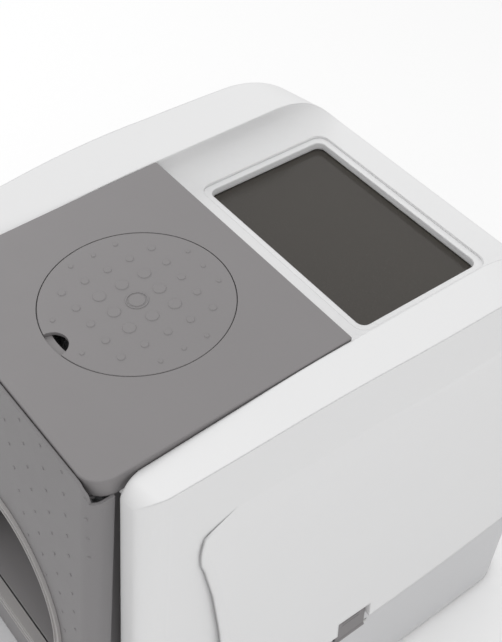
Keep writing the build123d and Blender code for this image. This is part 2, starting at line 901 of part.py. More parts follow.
def pan_sector(radius, start, end):
    """Sector of a disc round the axle, by its first and last angle."""
    middle = (start + end) / 2
    first = pan_point(radius, start)
    last = pan_point(radius, end)
    edges = [
        Line((axle_y, axle_z), first),
        ThreePointArc(first, pan_point(radius, middle), last),
        Line(last, (axle_y, axle_z)),
    ]
    return make_face(edges)


def make_pan():
    solid = pan_sector(pan_radius, pan_lip_angle, pan_end_angle)
    hollow = pan_sector(pan_inner, pan_lip_angle - 2, pan_end_angle + 2)
    arc_wall = side_plate(solid, -pan_half_width, pan_half_width)
    arc_wall = arc_wall - side_plate(hollow, -pan_half_width + wall, pan_half_width - wall)
    hub_face = Pos(axle_y, axle_z) * Circle(pan_hub_radius)
    hub = side_plate(hub_face, pan_half_width - wall, pan_half_width)
    pan = arc_wall + both_sides(hub)
    for side in (-1, 1):
        for angle in axle_screw_angles:
            y, z = axle_screw_place(angle)
            pan = pan - rod_x(screw_radius + seat_gap, side * (pan_half_width - 2 * wall),
                              side * (pan_half_width + 2), y, z)
    return pan


def axle_screw_place(angle):
    return pan_point(axle_flange_radius - axle_screw_inset, angle)


litter_pan = make_pan()
save(litter_pan, "litter_pan")


def pan_floor_z(y):
    return axle_z - sqrt(pan_inner ** 2 - (y - axle_y) ** 2)


step_top = pan_point(pan_inner, pan_lip_angle)[1] - 1
step_low = step_top - step_thickness
inside_half = pan_half_width - wall - side_gap
step_front = axle_y - sqrt(pan_inner ** 2 - (axle_z - step_low) ** 2) + side_gap


def make_sieve():
    """Upright slotted plate between the bowl and the pocket under the step."""
    low = pan_floor_z(riser_y) + side_gap
    high = step_low - side_gap
    rear = riser_y + riser_thickness
    plate = block(-inside_half, inside_half, riser_y, rear, low, high)
    count = int((2 * inside_half - riser_side_margin) / riser_pitch)
    slots = []
    for place in range(count):
        x = (place - (count - 1) / 2) * riser_pitch
        slots.append(block(x - riser_slot / 2, x + riser_slot / 2, riser_y - 1, rear + 1,
                           low + riser_margin, high - riser_margin))
    return plate - slots


sieve_grid = make_sieve()
save(sieve_grid, "sieve_grid")


def make_step():
    rear = riser_y + riser_thickness
    lip = rear + side_gap
    step = block(-inside_half, inside_half, step_front, lip + wall, step_low, step_top)
    step = step + block(-inside_half, inside_half, lip, lip + wall, step_low - 8, step_low + 1)
    ribs = []
    rib_gap = (rear - step_front) / (step_rib_count + 1)
    for place in range(1, step_rib_count + 1):
        y = step_front + place * rib_gap
        ribs.append(block(-inside_half + 12, inside_half - 12, y - 1, y + 1,
                          step_top - 1, step_top + step_rib_rise))
    return step + ribs


entry_step = make_step()
save(entry_step, "entry_step")


# Axle stubs, bushes and side frames

stub_start = pan_half_width + tight_gap
bush_inner = stub_start + axle_flange + side_gap
bush_outer_radius = axle_radius + running_gap + bush_wall
boss_bore = bush_outer_radius + tight_gap
hub_start = pocket_floor + side_gap * 5


def make_trunnion(length):
    """Flange on the pan's end wall with a shaft, drawn on the right side."""
    flange = rod_x(axle_flange_radius, stub_start, stub_start + axle_flange, axle_y, axle_z)
    stub = flange + rod_x(axle_radius, stub_start, stub_start + length, axle_y, axle_z)
    for angle in axle_screw_angles:
        y, z = axle_screw_place(angle)
        flange_face = stub_start + axle_flange
        stub = stub - rod_x(screw_radius + seat_gap, stub_start - 1, flange_face + 1, y, z)
        stub = stub - rod_x(sunk_head_radius + seat_gap, flange_face - sunk_head_depth - seat_gap,
                            flange_face + 1, y, z)
    return stub


right_stub = frame_boss_outer + 1 - stub_start
left_stub = hub_start + hub_length - hub_cap_depth - screw_head_height - 1 - stub_start
trunnion_right = make_trunnion(right_stub)
stub_end = stub_start + left_stub
flat_rise = axle_flat_share * axle_radius
screw_bore = rod_x(screw_radius + tight_gap, stub_end - 22, stub_end + 2, axle_y, axle_z)
key_flat = block(hub_start - 1, hub_start + hub_length + 9, axle_y - axle_radius, axle_y + axle_radius,
                 axle_z + flat_rise, axle_z + 2 * axle_radius)
trunnion_left = left_of(make_trunnion(left_stub) - screw_bore - key_flat)
save(trunnion_right, "trunnion_right")
save(trunnion_left, "trunnion_left")


def make_bush():
    flange = rod_x(bush_flange_radius, bush_inner, bush_inner + bush_flange, axle_y, axle_z)
    sleeve = rod_x(bush_outer_radius, bush_inner, frame_boss_outer + 0.5, axle_y, axle_z)
    bore = rod_x(axle_radius + running_gap, bush_inner - 1, frame_boss_outer + 2, axle_y, axle_z)
    return flange + sleeve - bore


bearing_bush_right = make_bush()
save(bearing_bush_right, "bearing_bush_right")
save(left_of(bearing_bush_right), "bearing_bush_left")

boss_start = bush_inner + bush_flange + seat_gap


def make_side_frame():
    low = floor_top + seat_gap
    points = [
        (frame_front, low),
        (frame_back, low),
        (frame_back, frame_back_height),
        (axle_y + 95, frame_back_height + frame_shoulder_rise),
        (axle_y + frame_head_half, axle_z + frame_head_rise),
        (axle_y - frame_head_half, axle_z + frame_head_rise),
        (frame_front, frame_back_height - frame_front_drop),
    ]
    radii = [0, 0, 20, 40, 24, 24, 40]
    frame = side_plate(outline(points, radii), frame_inner, frame_outer)
    frame = frame + rod_x(frame_boss_radius, boss_start, frame_boss_outer, axle_y, axle_z)
    frame = frame + block(frame_outer - 1, frame_outer + frame_foot, frame_front + 10, frame_back - 20,
                          low, low + wall)
    window_front_y = frame_front + frame_window_margin
    window_back_y = frame_back - frame_window_margin
    window_points = [
        (window_front_y, frame_window_low),
        (window_back_y, frame_window_low),
        (window_back_y, frame_window_back_height),
        (axle_y + frame_window_half, frame_window_top),
        (axle_y - frame_window_half, frame_window_top),
        (window_front_y, frame_window_front_height),
    ]
    window = outline(window_points, [frame_window_corner] * len(window_points))
    frame = frame - side_plate(window, frame_inner - 1, frame_outer + 1)
    frame = frame - rod_x(boss_bore, boss_start - 1, frame_boss_outer + 1, axle_y, axle_z)
    for x, y in frame_screw_places:
        if x > 0:
            frame = frame - disc(screw_radius + seat_gap, x, y, low - 1, low + wall + 1)
    return frame


side_frame_right = make_side_frame()
save(side_frame_right, "side_frame_right")
save(left_of(side_frame_right), "side_frame_left")


# Screws

def upright_screw(x, y, head_z, length):
    head = disc(screw_head_radius, x, y, head_z, head_z + screw_head_height)
    shaft = disc(screw_radius, x, y, head_z - length, head_z + 0.1)
    socket = Pos(x, y, head_z + screw_head_height) * Box(1.4, 2 * screw_head_radius + 2, 2)
    return head + shaft - socket


frame_screw_head = floor_top + seat_gap + wall + seat_gap
frame_screws = Compound([upright_screw(x, y, frame_screw_head, frame_screw_head - floor_gap)
                         for x, y in frame_screw_places])
save(frame_screws, "frame_screws")


def axle_screw(angle):
    """Sunk screw through the axle flange into the pan's end wall, on the right side."""
    y, z = axle_screw_place(angle)
    head_low = stub_start + axle_flange - sunk_head_depth
    head = rod_x(sunk_head_radius, head_low, stub_start + axle_flange - seat_gap, y, z)
    return head + rod_x(screw_radius, pan_half_width - wall + seat_gap, head_low + 0.1, y, z)


axle_screws = both_sides(Compound([axle_screw(angle) for angle in axle_screw_angles]))
save(axle_screws, "axle_screws")


# Lever: hub, arm, grip, screw and cap, drawn on the left side

def make_hub():
    face_x = hub_start + hub_length
    hub = rod_x(hub_radius, hub_start, face_x, axle_y, axle_z)
    bore = rod_x(axle_radius + running_gap, hub_start - 1, stub_end + side_gap, axle_y, axle_z)
    bore = bore - block(hub_start - 2, face_x, axle_y - axle_radius - 2, axle_y + axle_radius + 2,
                        axle_z + flat_rise + running_gap, axle_z + 2 * axle_radius)
    seat = rod_x(hub_cap_radius + side_gap, screw_seat_x, face_x + 1, axle_y, axle_z)
    through = rod_x(screw_radius + seat_gap, hub_start, face_x, axle_y, axle_z)
    hub = hub - bore - seat - through
    socket = lever_block(lever_root, hub_radius + 2, lever_width + 2 * side_gap,
                         lever_inner - side_gap, lever_outer + side_gap)
    return hub - socket


lever_inner = hub_start + lever_root_gap
lever_outer = lever_inner + lever_thickness
lever_root = hub_cap_radius + 5
screw_seat_x = hub_start + hub_length - hub_cap_depth - screw_head_height


def lever_block(r0, r1, width, x0, x1):
    """Radial bar at the lever's rest angle, right-hand side."""
    middle = (r0 + r1) / 2
    turn = lever_start_angle
    y, z = pan_point(middle, turn)
    return Pos((x0 + x1) / 2, y, z) * Rot(turn, 0, 0) * Box(x1 - x0, r1 - r0, width)


def make_lever():
    arm = lever_block(lever_root + side_gap, lever_length, lever_width, lever_inner, lever_outer)
    grip_x = lever_inner + 6
    arm_end = lever_block(lever_length - grip_length, lever_length + 1, lever_width + 2,
                          grip_x, lever_outer + 1)
    arm = arm - arm_end
    grip = lever_block(lever_length - grip_length + side_gap, lever_length, grip_width, grip_x + side_gap,
                       lever_inner + grip_reach)
    grip = fillet(grip.edges().filter_by(Axis.X), 7)
    return arm, grip


lever_hub_right = make_hub()
lever_arm_right, lever_grip_right = make_lever()
save(left_of(lever_hub_right), "lever_hub")
save(left_of(lever_arm_right), "lever_arm")
save(left_of(lever_grip_right), "lever_grip")

cap_seat_x = screw_seat_x + screw_head_height
hub_screw_right = rod_x(screw_head_radius, screw_seat_x + tight_gap, cap_seat_x - 1, axle_y, axle_z)
hub_screw_right = hub_screw_right + rod_x(screw_radius, screw_seat_x - 18, screw_seat_x + 1, axle_y, axle_z)
save(left_of(hub_screw_right), "hub_screw")
hub_cap_right = rod_x(hub_cap_radius, cap_seat_x, hub_start + hub_length, axle_y, axle_z)
save(left_of(hub_cap_right), "hub_cap")


# Waste drawer, its face, the liner ring and the runners

def drawer_block(inset, z0, z1):
    return rounded_block(drawer_half_width - inset, drawer_front_y + inset, drawer_back_y - inset,
                         z0, z1, drawer_corner - inset)


def make_drawer():
    outer = drawer_block(0, drawer_floor, drawer_top)
    inner = drawer_block(drawer_wall, drawer_floor + drawer_wall, drawer_top + 1)
    drawer = outer - inner
    half = cup_half_width + side_gap
    return drawer - block(-half, half, drawer_front_y - 1, drawer_front_y + drawer_wall + 1,
                          cup_low - side_gap, cup_high + side_gap)


waste_drawer = make_drawer()
save(waste_drawer, "waste_drawer")

face_back = drawer_front_y - seat_gap
face_front = face_back - drawer_face
face_half = drawer_half_width + drawer_face_lap


def make_drawer_front():
    low = drawer_floor - 1
    high = drawer_top + drawer_face_rise
    plate = block(-face_half, face_half, face_front, face_back, low, high)
    plate = fillet(plate.edges().filter_by(Axis.Y), 6)
    plate = fillet(plate.faces().sort_by(Axis.Y)[0].edges(), 1.5)
    cup = block(-cup_half_width, cup_half_width, face_front + 3, face_front + cup_depth, cup_low, cup_high)
    hollow = block(-cup_half_width + drawer_wall, cup_half_width - drawer_wall, face_front - 1,
                   face_front + cup_depth - drawer_wall, cup_low + drawer_wall, cup_high - drawer_wall)
    return plate + cup - hollow


drawer_front = make_drawer_front()
save(drawer_front, "drawer_front")


def make_liner():
    rim_low = drawer_top + seat_gap
    rim = drawer_block(0, rim_low, rim_low + liner_rim)
    skirt = drawer_block(drawer_wall + side_gap, rim_low - liner_skirt, rim_low + 1)
    inner = drawer_block(liner_width, rim_low - liner_skirt - 1, rim_low + liner_rim + 1)
    return rim + skirt - inner


liner_ring = make_liner()
save(liner_ring, "liner_ring")


def make_runner():
    low = floor_top + seat_gap
    side = drawer_half_width + side_gap
    rail = block(side, side + runner_width, drawer_front_y + 14, drawer_back_y, low, low + runner_height)
    shelf = block(side - 14, side + runner_width, drawer_front_y + 14, drawer_back_y,
                  low, drawer_floor - side_gap)
    return rail + shelf


drawer_runner_right = make_runner()
save(drawer_runner_right, "drawer_runner_right")
save(left_of(drawer_runner_right), "drawer_runner_left")


# Fixed guides: the rear deflector and the entry ledge

guide_half = frame_inner - side_gap


def make_deflector():
    run = (deflector_top[0] - deflector_foot[0], deflector_top[1] - deflector_foot[1])
    length = hypot(*run)
    normal = (-run[1] / length * guide_thickness, run[0] / length * guide_thickness)
    points = [
        deflector_foot,
        (deflector_top[0] - side_gap, deflector_top[1]),
        (deflector_top[0] - side_gap + normal[0], deflector_top[1] + normal[1]),
        (deflector_foot[0] + normal[0], deflector_foot[1] + normal[1]),
    ]
    return side_plate(outline(points), -guide_half, guide_half)


rear_deflector = make_deflector()
save(rear_deflector, "rear_deflector")


def make_entry_ledge():
    """Sill plate from the entrance to the pan's lip, on two legs over the deck."""
    front = entry_ledge_front
    back = axle_y - sqrt((pan_radius + entry_ledge_back_gap) ** 2
                         - (axle_z - entry_ledge_height - entry_ledge_rise) ** 2)
    points = [
        (front, entry_ledge_height),
        (back, entry_ledge_height + entry_ledge_rise),
        (back, entry_ledge_height + entry_ledge_rise - guide_thickness),
        (front, entry_ledge_height - guide_thickness),
    ]
    half = entry_ledge_half_width
    plate = side_plate(outline(points), -half, half)
    leg_low = panel_low + wall + seat_gap
    leg = block(half - guide_thickness, half, front + 2, front + 2 + deck_leg,
                leg_low, entry_ledge_height - 2)
    foot = block(half - 26, half, front + 2, front + 2 + deck_leg, leg_low, leg_low + wall)
    foot = foot - disc(screw_radius + seat_gap, deck_screw_x, deck_screw_y, leg_low - 1, leg_low + wall + 1)
    return plate + both_sides(leg + foot)


entry_ledge = make_entry_ledge()
save(entry_ledge, "entry_ledge")

deck_screw_head = panel_low + 2 * wall + 2 * seat_gap
deck_screws = Compound([upright_screw(x, y, deck_screw_head, deck_screw_head - seam_height + wall)
                        for x, y in deck_screw_places])
save(deck_screws, "deck_screws")


# Latches and their pins

def make_latch():
    half = latch_width / 2
    plate = block(latch_back, latch_face, latch_y - half, latch_y + half, latch_pin_z, latch_high)
    plate = fillet(plate.edges().filter_by(Axis.X).group_by(Axis.Z)[-1], 4)
    barrel = rod_y(latch_barrel, latch_pin_x, latch_y - half, latch_y + half, latch_pin_z)
    hook = block(latch_back - latch_hook_reach, latch_back + 1, latch_y - half + 6, latch_y + half - 6,
                 latch_high - latch_hook, latch_high)
    latch = plate + barrel + hook
    return latch - rod_y(latch_pin_radius + running_gap, latch_pin_x,
                         latch_y - half - 1, latch_y + half + 1, latch_pin_z)


hood_latch_right = make_latch()
save(hood_latch_right, "hood_latch_right")
save(left_of(hood_latch_right), "hood_latch_left")

latch_pin_half = latch_width / 2 + latch_gap + 4
latch_pin = rod_y(latch_pin_radius, latch_pin_x, latch_y - latch_pin_half,
                  latch_y + latch_pin_half, latch_pin_z)
latch_pins = both_sides(latch_pin)
save(latch_pins, "latch_pins")
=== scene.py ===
# %% [markdown]
# A hooded litter box, made of satin white and warm grey plastic.
# The solid model already holds every part at its real size and on its own joint.
# This lesson dresses those parts: it gives each one a finish, adds the small shapes that a mould leaves,
# and lights the box as a product photographer would, in a white room.

# %% Load the frame
import json
import math

import bmesh
import bpy
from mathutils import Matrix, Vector
from mathutils.bvhtree import BVHTree


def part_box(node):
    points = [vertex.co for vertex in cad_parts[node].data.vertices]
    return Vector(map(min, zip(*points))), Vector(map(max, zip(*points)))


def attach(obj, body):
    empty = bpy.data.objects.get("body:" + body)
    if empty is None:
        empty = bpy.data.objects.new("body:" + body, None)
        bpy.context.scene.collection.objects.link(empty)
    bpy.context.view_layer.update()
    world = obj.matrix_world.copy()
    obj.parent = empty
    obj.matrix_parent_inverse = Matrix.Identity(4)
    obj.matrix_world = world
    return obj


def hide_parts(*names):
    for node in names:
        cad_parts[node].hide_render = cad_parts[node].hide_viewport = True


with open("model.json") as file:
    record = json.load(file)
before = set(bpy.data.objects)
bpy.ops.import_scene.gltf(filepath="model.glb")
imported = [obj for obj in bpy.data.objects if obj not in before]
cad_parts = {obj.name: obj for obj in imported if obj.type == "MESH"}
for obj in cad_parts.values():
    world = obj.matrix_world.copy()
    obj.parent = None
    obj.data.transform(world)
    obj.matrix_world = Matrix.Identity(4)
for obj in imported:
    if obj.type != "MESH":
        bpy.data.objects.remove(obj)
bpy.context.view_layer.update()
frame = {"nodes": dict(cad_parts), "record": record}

parts = frame["nodes"]
MM = 0.001

# %% [markdown]
# The camera comes first.
# The photographer stood at the front right corner and looked down at the lid, about 47 degrees below level.
# A place and a direction are enough: the direction becomes a rotation with to_track_quat.
# The long side of the sensor is 36 mm, so a lens of 67 mm gives the photograph's mild perspective.

# %% Camera
LENS = 67.29
CAMERA_PLACE = (730.7, -507.9, 1461.1)
CAMERA_AIM = (-0.5453, 0.4167, -0.7273)

camera_data = bpy.data.cameras.new("camera")
camera = bpy.data.objects.new("camera", camera_data)
bpy.context.scene.collection.objects.link(camera)
bpy.context.scene.camera = camera
camera_data.lens = LENS
camera_data.sensor_width = 36.0
camera_data.clip_start = 0.05
camera_data.clip_end = 50.0
camera.location = Vector(CAMERA_PLACE) * MM
camera.rotation_mode = "QUATERNION"
camera.rotation_quaternion = Vector(CAMERA_AIM).to_track_quat("-Z", "Y")
print("camera is", round(camera.location.length, 2), "m from the middle of the floor")

# %% [markdown]
# A finish is a tree of shader nodes, and long trees are hard to read when they are built link by link.
# Here a small class wraps one output of a node, so that a mask can be written as 1 - mask * 0.5.
# Each sign adds one Math node. The other class, Finish, makes any other node from its type,
# its settings and what goes into its sockets.

# %% Values that can be added and multiplied
class Value:
    """One output of a shader node, or a number that is worked out from others."""

    def __init__(self, finish, socket):
        self.finish = finish
        self.socket = socket

    def math(self, operation, first, second):
        return self.finish.node("ShaderNodeMath", {"operation": operation}, {0: first, 1: second})

    def __add__(self, other):
        return self.math("ADD", self, other)

    def __radd__(self, other):
        return self.math("ADD", other, self)

    def __sub__(self, other):
        return self.math("SUBTRACT", self, other)

    def __rsub__(self, other):
        return self.math("SUBTRACT", other, self)

    def __mul__(self, other):
        return self.math("MULTIPLY", self, other)

    def __rmul__(self, other):
        return self.math("MULTIPLY", other, self)


# %% Finishes
class Finish:
    """A material and the one method that adds nodes to it."""

    def __init__(self, name):
        self.material = bpy.data.materials.new(name)
        self.material.use_nodes = True
        self.nodes = self.material.node_tree.nodes
        self.links = self.material.node_tree.links
        self.nodes.clear()

    def node(self, kind, settings=None, inputs=None, output=0):
        made = self.nodes.new(kind)
        for name, value in (settings or {}).items():
            if name == "stops":
                ramp = made.color_ramp
                while len(ramp.elements) < len(value):
                    ramp.elements.new(1.0)
                for element, (position, colour) in zip(ramp.elements, value):
                    element.position = position
                    element.color = (*colour, 1.0)
            else:
                setattr(made, name, value)
        for key, value in (inputs or {}).items():
            if isinstance(value, Value):
                self.links.new(value.socket, made.inputs[key])
            else:
                made.inputs[key].default_value = value
        return Value(self, made.outputs[output])

    def mix(self, factor, first, second):
        colours = {6: first, 7: second}
        for key, value in colours.items():
            if not isinstance(value, Value):
                colours[key] = (*value, 1.0)
        return self.node("ShaderNodeMix", {"data_type": "RGBA"}, {0: factor, **colours}, 2)

    def noise(self, place, scale, detail=2.0, roughness=0.5):
        return self.node("ShaderNodeTexNoise", {}, {"Vector": place, "Scale": scale, "Detail": detail,
                                                   "Roughness": roughness}, "Fac")

    def ramp(self, value, low, high):
        """0 below low and 1 above high, with a straight run between."""
        return self.node("ShaderNodeMapRange", {"clamp": True}, {0: value, 1: low, 2: high})

    def end(self, shader):
        output = self.nodes.new("ShaderNodeOutputMaterial")
        self.links.new(shader.socket, output.inputs["Surface"])
        return self.material


print("shader helpers ready")

# %% [markdown]
# Injection-moulded plastic is never quite one colour or one gloss.
# The mould's surface leaves a fine grain, thick places cool later and shine differently,
# and edges are rubbed brighter by hands. All the hard plastics here share one recipe.
# A large soft noise drifts the colour, a fine noise is the grain of the mould, and a Bevel node
# rounds the look of sharp edges. The same Bevel node, compared with the true normal, finds the edges.

# %% The recipe for moulded plastic
def darker(colour, share):
    return tuple(channel * share for channel in colour)


def moulded(name, colour, roughness, grain_size, grain_depth, edge_radius=1.2, rub=0.10, drift=0.05,
            fleck=0.25):
    finish = Finish(name)
    place = finish.node("ShaderNodeTexCoord", output="Object")
    cloud = finish.noise(place, 7.0, 3.0)
    speck = finish.noise(place, 420.0, 2.0, 0.6)
    grain = finish.noise(place, 1.0 / (grain_size * MM), 3.0, 0.65)
    peel = finish.noise(place, 90.0, 2.0)
    rounded = finish.node("ShaderNodeBevel", {"samples": 6}, {"Radius": edge_radius * MM})
    true_normal = finish.node("ShaderNodeNewGeometry", output="Normal")
    facing = finish.node("ShaderNodeVectorMath", {"operation": "DOT_PRODUCT"}, {0: rounded, 1: true_normal},
                         "Value")
    edge = finish.ramp(1.0 - facing, 0.02, 0.25)
    tint = finish.mix(cloud, darker(colour, 1.0 - drift), darker(colour, 1.0 + drift * 0.6))
    tint = finish.mix(finish.ramp(speck, 0.62, 0.8) * fleck, tint, darker(colour, 0.86))
    tint = finish.mix(edge * rub, tint, darker(colour, 1.25))
    gloss = roughness - 0.06 + finish.noise(place, 26.0, 3.0) * 0.12
    gloss = gloss - edge * 0.08
    bump = finish.node("ShaderNodeBump", {}, {"Strength": 1.0, "Distance": 0.001 * grain_depth,
                                              "Height": grain + peel * 1.5, "Normal": rounded})
    shader = finish.node("ShaderNodeBsdfPrincipled", {}, {
        "Base Color": tint, "Roughness": gloss, "Normal": bump})
    return finish.end(shader)


WHITE = (0.815, 0.815, 0.818)
LID_GREY = (0.236, 0.225, 0.228)
finishes = {
    "white_plastic": moulded("hood_white", WHITE, 0.42, 0.9, 0.010, 3.0, 0.10, 0.010, fleck=0.08),
    "base_plastic": moulded("base_pale_grey", (0.64, 0.64, 0.65), 0.45, 0.9, 0.012, 2.5, 0.12, 0.015,
                            fleck=0.1),
    "grey_plastic": moulded("lid_grey", LID_GREY, 0.50, 0.55, 0.03, 0.9, 0.12, 0.03),
    "light_grey_plastic": moulded("trim_grey", (0.40, 0.385, 0.38), 0.45, 0.6, 0.02, 0.8, 0.12),
    "inner_plastic": moulded("inner_grey", (0.33, 0.325, 0.33), 0.5, 0.7, 0.03, 0.8, 0.1),
    "pan_plastic": moulded("pan_grey", (0.23, 0.23, 0.24), 0.36, 0.9, 0.015, 1.0, 0.1),
    "bush_plastic": moulded("acetal", (0.66, 0.65, 0.62), 0.4, 0.8, 0.01, 0.6, 0.1),
    "dark_plastic": moulded("soft_grip", (0.055, 0.055, 0.06), 0.62, 0.5, 0.05, 1.0, 0.2),
}
print("plastics:", sorted(finishes))

# %% [markdown]
# The window is smoked acrylic: dark, hard and glossy, with a warm brown cast.
# It could be glass with real transmission, but almost nothing shows behind it, so a dark glossy
# surface with a little alpha is quicker and gives the same look. Fine dust and faint wiping marks
# change its gloss, as on any pane that is wiped by hand.

# %% Smoked pane
def smoked():
    finish = Finish("smoked_acrylic")
    place = finish.node("ShaderNodeTexCoord", output="Object")
    stretched = finish.node("ShaderNodeMapping", {}, {"Vector": place, "Rotation": (0.0, 0.0, 0.6),
                                                      "Scale": (1.0, 7.0, 1.0)})
    wipes = finish.noise(stretched, 18.0, 4.0, 0.6)
    dust = finish.noise(place, 700.0, 2.0, 0.7)
    tint = finish.mix(finish.ramp(dust, 0.6, 0.85) * 0.35, (0.053, 0.047, 0.040), (0.12, 0.11, 0.10))
    gloss = 0.10 + wipes * 0.10 + finish.ramp(dust, 0.6, 0.9) * 0.15
    wave = finish.noise(place, 9.0, 1.0)
    bump = finish.node("ShaderNodeBump", {}, {"Strength": 0.4, "Distance": 0.0004, "Height": wave})
    shader = finish.node("ShaderNodeBsdfPrincipled", {}, {
        "Base Color": tint, "Roughness": gloss, "Normal": bump, "IOR": 1.49,
        "Alpha": 0.93 - wipes * 0.03})
    return finish.end(shader)


finishes["smoked_pane"] = smoked()
print("pane finish:", finishes["smoked_pane"].name)

# %% [markdown]
# Rubber, steel and the carbon felt of the filter each need their own recipe.
# Rubber is dull and speckled with dust. Plated steel screws are turned, so fine rings run round them.
# Felt is a mat of crossing fibres, which two stretched noises at different angles copy well.

# %% Rubber, steel and felt
def rubber():
    finish = Finish("black_rubber")
    place = finish.node("ShaderNodeTexCoord", output="Object")
    dust = finish.noise(place, 160.0, 4.0, 0.7)
    grain = finish.noise(place, 1500.0, 2.0)
    tint = finish.mix(finish.ramp(dust, 0.5, 0.8) * 0.5, (0.022, 0.022, 0.022), (0.06, 0.058, 0.055))
    bump = finish.node("ShaderNodeBump", {}, {"Strength": 0.6, "Distance": 0.0002, "Height": grain + dust})
    shader = finish.node("ShaderNodeBsdfPrincipled", {}, {
        "Base Color": tint, "Roughness": 0.72 + dust * 0.15, "Normal": bump})
    return finish.end(shader)


def plated():
    finish = Finish("plated_steel")
    place = finish.node("ShaderNodeTexCoord", output="Object")
    brushed = finish.node("ShaderNodeMapping", {}, {"Vector": place, "Scale": (1.0, 1.0, 12.0)})
    lines = finish.noise(brushed, 900.0, 3.0)
    tint = finish.mix(lines, (0.50, 0.50, 0.49), (0.68, 0.68, 0.67))
    bump = finish.node("ShaderNodeBump", {}, {"Strength": 0.4, "Distance": 0.0001, "Height": lines})
    shader = finish.node("ShaderNodeBsdfPrincipled", {}, {
        "Base Color": tint, "Metallic": 1.0, "Roughness": 0.28 + lines * 0.15, "Normal": bump})
    return finish.end(shader)


def felt():
    finish = Finish("carbon_felt")
    place = finish.node("ShaderNodeTexCoord", output="Object")
    layers = []
    for turn in (0.5, 2.1):
        laid = finish.node("ShaderNodeMapping", {}, {"Vector": place, "Rotation": (0.0, 0.0, turn),
                                                     "Scale": (1.0, 9.0, 1.0)})
        layers.append(finish.noise(laid, 260.0, 4.0, 0.7))
    fibres = layers[0] * layers[1]
    tint = finish.mix(finish.ramp(fibres, 0.18, 0.4), (0.016, 0.016, 0.018), (0.075, 0.075, 0.08))
    bump = finish.node("ShaderNodeBump", {}, {"Strength": 1.0, "Distance": 0.0012, "Height": fibres})
    shader = finish.node("ShaderNodeBsdfPrincipled", {}, {
        "Base Color": tint, "Roughness": 0.95, "Normal": bump, "Sheen Weight": 0.3})
    return finish.end(shader)


finishes["black_rubber"] = rubber()
finishes["steel"] = plated()
finishes["carbon_fabric"] = felt()
print("finishes made:", len(finishes))

# %% [markdown]
# Each part of the solid model names its material slot in the record, so one loop dresses them all.
# The front panel has a coarser grain than the lid, and gets a finish of its own.

# %% Dress the parts
panel_finish = moulded("panel_grey", (0.230, 0.221, 0.225), 0.52, 0.7, 0.06, 1.0, 0.12, 0.03)
slots = {row["node"]: row["material_slot"] for row in frame["record"]["subparts"]}
for name, part in parts.items():
    part.data.materials.clear()
    part.data.materials.append(panel_finish if name == "front_panel" else finishes[slots[name]])
print("dressed:", len(slots))

# %% [markdown]
# The small raised shapes come next: pips, ribs and tread lines that a mould leaves on a part.
# They could be cut into the parts as a texture, but real ones catch light at their edges, so they are mesh.
# A piece that sits on a curved part must find that part's skin. A BVH tree is a fast index of a mesh's
# faces: a ray is sent at it, and it answers with the point it hit and the direction that the skin faces.

# %% Finding the skin of a part
def skin_of(name):
    mesh = parts[name].data
    corners = [vertex.co.copy() for vertex in mesh.vertices]
    return BVHTree.FromPolygons(corners, [tuple(face.vertices) for face in mesh.polygons])


def make_piece(name, shape, body, finish):
    """Turn a bmesh into an object that rides on a body and wears a finish."""
    mesh = bpy.data.meshes.new(name)
    bmesh.ops.recalc_face_normals(shape, faces=shape.faces)
    shape.to_mesh(mesh)
    shape.free()
    for face in mesh.polygons:
        face.use_smooth = True
    made = bpy.data.objects.new(name, mesh)
    bpy.context.scene.collection.objects.link(made)
    mesh.materials.append(finish)
    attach(made, body)
    print(name, "has", len(mesh.polygons), "faces")
    return made


# %% [markdown]
# A pip is a small round dome. It is made from rings that shrink as they rise, closed by one top point.
# The first ring is sunk a little under the skin, so that no gap shows where the skin curves.

# %% Domes
def side_directions(normal):
    """Two directions along the skin, at right angles to each other."""
    first = normal.orthogonal().normalized()
    return first, normal.cross(first)


def add_dome(shape, place, normal, radius, height, segments=12, steps=4):
    along, across = side_directions(normal)
    rings = []
    for step in range(steps):
        turn = 0.5 * math.pi * step / steps
        reach = radius * math.cos(turn)
        rise = height * math.sin(turn) - (0.25 * MM if step == 0 else 0.0)
        ring = []
        for k in range(segments):
            angle = 2.0 * math.pi * k / segments
            ring.append(shape.verts.new(place + normal * rise
                                        + (along * math.cos(angle) + across * math.sin(angle)) * reach))
        rings.append(ring)
    top = shape.verts.new(place + normal * height)
    for low, high in zip(rings, rings[1:]):
        for k in range(segments):
            shape.faces.new((low[k], low[(k + 1) % segments], high[(k + 1) % segments], high[k]))
    for k in range(segments):
        shape.faces.new((rings[-1][k], rings[-1][(k + 1) % segments], top))
    shape.faces.new(rings[0])


# %% [markdown]
# The front panel carries a field of pips that hides scratches from claws.
# They stand in rows 27.5 mm apart. At the top the columns are 37.5 mm apart, and further down they spread
# outwards and close up, as if they flowed round the entrance. A straight grid would be simpler, but it
# doesn't follow the photograph. Below the middle of the entrance the columns run back in again.
# Each pip is found by a ray that comes from the front, so it leans with the panel where the edge is
# rounded. A ray that lands far behind the flat front has met the rounded edge's side, and is left out.

# %% Pips on the front panel
PIP_COLUMN = 37.5
PIP_INNER = 11.0
PIP_SPREAD = 0.285
PIP_SPREAD_END = 190.0
PIP_ROW = 27.5
PIP_ROWS = 15
PIP_COLUMNS = 5
PIP_TOP = 592.0
PIP_RADIUS = 1.9
PIP_HEIGHT = 1.0
PANEL_FRONT = -254.4
PANEL_LEAN = 0.12
PANEL_TOP = 608.0
FLAT_LIMIT = 4.0
ARCH_CENTRE = 308.0
ARCH_REACH = 126.0
SILL_LOW = 226.0


def near_entrance(x, z):
    if z > ARCH_CENTRE:
        return math.hypot(x, z - ARCH_CENTRE) < ARCH_REACH
    return abs(x) < ARCH_REACH and z > SILL_LOW


